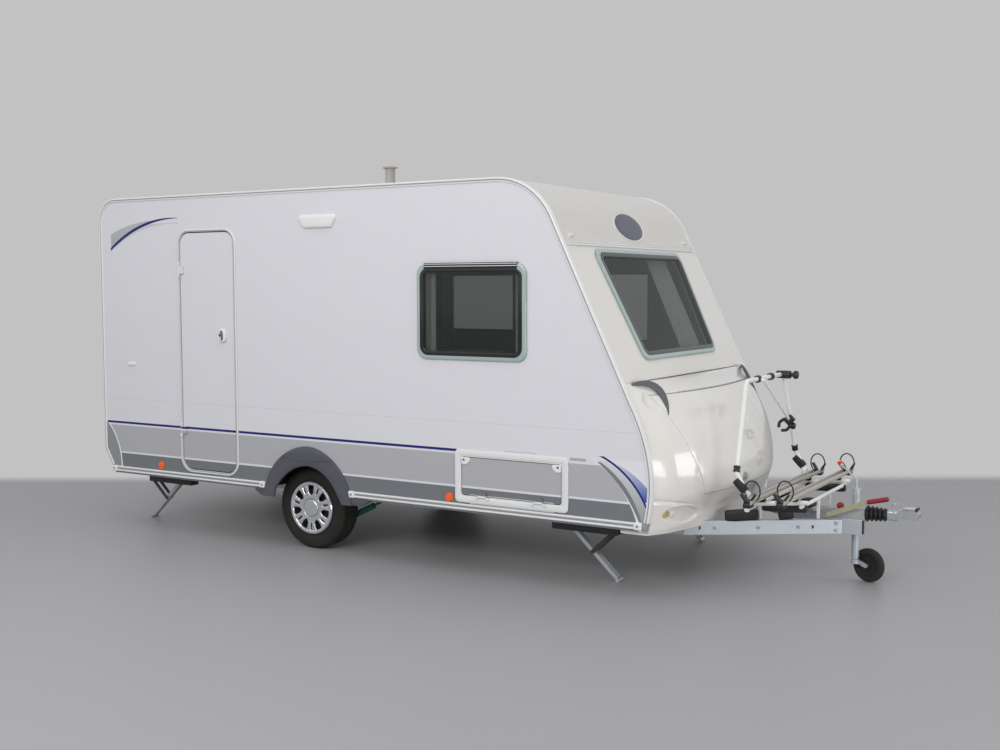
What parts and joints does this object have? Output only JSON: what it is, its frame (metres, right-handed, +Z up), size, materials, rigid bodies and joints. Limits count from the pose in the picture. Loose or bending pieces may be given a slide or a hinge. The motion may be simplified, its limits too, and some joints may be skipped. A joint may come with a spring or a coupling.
{
  "type": "travel caravan",
  "caption": "Family touring caravan with sloping front, entrance door, jockey wheel, corner steadies and a folding cycle carrier on its drawbar.",
  "frame": {"origin": "middle of the footprint, on the ground", "axes": "+X forward to the coupling, +Y to the left side, +Z up"},
  "size_m": [6.0569, 2.152, 2.691],
  "materials": {
    "body_sheet": "satin painted aluminium sheet, pale grey-white",
    "front_sheet": "satin painted sheet, warm white",
    "roof_sheet": "satin painted sheet, warm white",
    "moulding": "glossy glass-fibre moulding, warm white",
    "floor_board": "dark sealed plywood",
    "bulkhead_board": "plywood",
    "liner": "black liner",
    "frame_plastic": "white plastic",
    "pane": "tinted acrylic",
    "rail_metal": "satin extrusion",
    "spat_plastic": "dark grey plastic",
    "roof_plastic": "off-white plastic",
    "lamp_lens": "coloured lens",
    "handle_plastic": "dark grey plastic",
    "galvanised": "galvanised",
    "axle_paint": "dark painted steel",
    "damper_paint": "green painted steel",
    "tyre": "matt rubber",
    "rim_steel": "grey painted steel",
    "cover_plastic": "silver plastic",
    "cast_housing": "painted casting, light grey",
    "bellows_rubber": "black rubber",
    "coupling_steel": "plated steel",
    "lever_steel": "yellow-zinc plated steel",
    "jockey_tube": "galvanised tube",
    "jockey_tread": "grey-black rubber",
    "carrier_metal": "pale grey coated tube",
    "carrier_plastic": "black plastic",
    "furniture": "wood grain laminate",
    "cushion_cloth": "woven cloth",
    "curtain_cloth": "thin cloth"
  },
  "bodies": {
    "caravan": {"axle_tube": "axle_paint", "body_lamps": "lamp_lens", "body_trims": "rail_metal", "cabin_furniture": "furniture", "carrier_base": "carrier_metal", "chassis_beams": "galvanised", "coupling_head": "coupling_steel", "cross_members": "galvanised", "curtains": "curtain_cloth", "floor_panel": "floor_board", "front_cap": "moulding", "front_panel": "front_sheet", "grab_handles": "handle_plastic", "jockey_clamp": "coupling_steel", "locker_bulkhead": "bulkhead_board", "locker_lid": "moulding", "nose_moulding": "moulding", "overrun_bellows": "bellows_rubber", "overrun_housing": "cast_housing", "rear_wall": "body_sheet", "roof_fittings": "roof_plastic", "roof_panel": "roof_sheet", "seat_cushions": "cushion_cloth", "shock_absorbers": "damper_paint", "shock_brackets": "galvanised", "side_frames": "frame_plastic", "side_wall_left": "body_sheet", "side_wall_right": "body_sheet", "steady_brackets": "galvanised", "trailing_arms": "axle_paint", "wheel_boxes": "liner", "wheel_spats": "spat_plastic", "window_rails": "rail_metal", "windows": "pane"},
    "entrance_door": {"entrance_door": "body_sheet"},
    "service_door": {"service_door": "body_sheet"},
    "wheel_right": {"tyre_right": "tyre", "rim_right": "rim_steel", "wheel_cover_right": "cover_plastic"},
    "wheel_left": {"tyre_left": "tyre", "rim_left": "rim_steel", "wheel_cover_left": "cover_plastic"},
    "handbrake_lever": {"handbrake_lever": "lever_steel"},
    "jockey_tube": {"jockey_outer_tube": "jockey_tube"},
    "jockey_stem": {"jockey_inner_tube": "jockey_tube"},
    "jockey_fork": {"jockey_fork": "jockey_tube"},
    "jockey_wheel": {"jockey_wheel": "jockey_tread"},
    "carrier_hoop": {"carrier_hoop": "carrier_metal", "carrier_arms": "carrier_plastic"},
    "steady_brace_front_right": {"steady_brace_front_right": "galvanised"},
    "steady_leg_front_right": {"steady_leg_front_right": "galvanised"},
    "steady_brace_front_left": {"steady_brace_front_left": "galvanised"},
    "steady_leg_front_left": {"steady_leg_front_left": "galvanised"},
    "steady_brace_rear_right": {"steady_brace_rear_right": "galvanised"},
    "steady_leg_rear_right": {"steady_leg_rear_right": "galvanised"},
    "steady_brace_rear_left": {"steady_brace_rear_left": "galvanised"},
    "steady_leg_rear_left": {"steady_leg_rear_left": "galvanised"}
  },
  "joints": [
    {"name": "wheel_right_spin", "type": "hinge", "parent": "caravan", "child": "wheel_right", "pos_m": [-0.962, -0.875, 0.295], "axis": [0, 1, 0], "continuous": true},
    {"name": "wheel_left_spin", "type": "hinge", "parent": "caravan", "child": "wheel_left", "pos_m": [-0.962, 0.875, 0.295], "axis": [0, 1, 0], "continuous": true},
    {"name": "entrance_door_swing", "type": "hinge", "parent": "caravan", "child": "entrance_door", "pos_m": [-2.131, -1.064, 1.4], "axis": [0, 0, -1], "range_deg": [0, 170]},
    {"name": "service_door_swing", "type": "hinge", "parent": "caravan", "child": "service_door", "pos_m": [0.744, -1.064, 0.52], "axis": [1, 0, 0], "range_deg": [0, 110]},
    {"name": "handbrake_swing", "type": "hinge", "parent": "caravan", "child": "handbrake_lever", "pos_m": [2.488, -0.075, 0.44], "axis": [0, -1, 0], "range_deg": [0, 65]},
    {"name": "jockey_clamp_slide", "type": "slide", "parent": "caravan", "child": "jockey_tube", "axis": [0, 0, 1], "range_m": [0, 0.16]},
    {"name": "jockey_screw_slide", "type": "slide", "parent": "jockey_tube", "child": "jockey_stem", "axis": [0, 0, -1], "range_m": [0, 0.18]},
    {"name": "jockey_swivel", "type": "hinge", "parent": "jockey_stem", "child": "jockey_fork", "pos_m": [2.623, 0.07, 0.165], "axis": [0, 0, 1], "continuous": true},
    {"name": "jockey_wheel_spin", "type": "hinge", "parent": "jockey_fork", "child": "jockey_wheel", "pos_m": [2.70225, 0.09934, 0.107], "axis": [0.3322, 0.9432, 0], "continuous": true},
    {"name": "carrier_hoop_fold", "type": "hinge", "parent": "caravan", "child": "carrier_hoop", "pos_m": [2.136, 0, 0.612], "axis": [0, -1, 0], "range_deg": [-80, 0]},
    {"name": "steady_brace_front_right_fold", "type": "hinge", "parent": "caravan", "child": "steady_brace_front_right", "pos_m": [1.313, -0.7, 0.315], "axis": [0, 1, 0], "range_deg": [0, 38]},
    {"name": "steady_leg_front_right_fold", "type": "hinge", "parent": "steady_brace_front_right", "child": "steady_leg_front_right", "pos_m": [1.16454, -0.7, 0.17655], "axis": [0, -1, 0], "range_deg": [0, 76]},
    {"name": "steady_brace_front_left_fold", "type": "hinge", "parent": "caravan", "child": "steady_brace_front_left", "pos_m": [1.313, 0.7, 0.315], "axis": [0, 1, 0], "range_deg": [0, 38]},
    {"name": "steady_leg_front_left_fold", "type": "hinge", "parent": "steady_brace_front_left", "child": "steady_leg_front_left", "pos_m": [1.16454, 0.7, 0.17655], "axis": [0, -1, 0], "range_deg": [0, 76]},
    {"name": "steady_brace_rear_right_fold", "type": "hinge", "parent": "caravan", "child": "steady_brace_rear_right", "pos_m": [-2.822, -0.7, 0.315], "axis": [0, -1, 0], "range_deg": [0, 38]},
    {"name": "steady_leg_rear_right_fold", "type": "hinge", "parent": "steady_brace_rear_right", "child": "steady_leg_rear_right", "pos_m": [-2.67354, -0.7, 0.17655], "axis": [0, 1, 0], "range_deg": [0, 76]},
    {"name": "steady_brace_rear_left_fold", "type": "hinge", "parent": "caravan", "child": "steady_brace_rear_left", "pos_m": [-2.822, 0.7, 0.315], "axis": [0, -1, 0], "range_deg": [0, 38]},
    {"name": "steady_leg_rear_left_fold", "type": "hinge", "parent": "steady_brace_rear_left", "child": "steady_leg_rear_left", "pos_m": [-2.67354, 0.7, 0.17655], "axis": [0, 1, 0], "range_deg": [0, 76]}
  ],
  "couplings": [
    {"joint": "steady_leg_front_right_fold", "follows": "steady_brace_front_right_fold", "ratio": 2},
    {"joint": "steady_leg_front_left_fold", "follows": "steady_brace_front_left_fold", "ratio": 2},
    {"joint": "steady_leg_rear_right_fold", "follows": "steady_brace_rear_right_fold", "ratio": 2},
    {"joint": "steady_leg_rear_left_fold", "follows": "steady_brace_rear_left_fold", "ratio": 2}
  ]
}
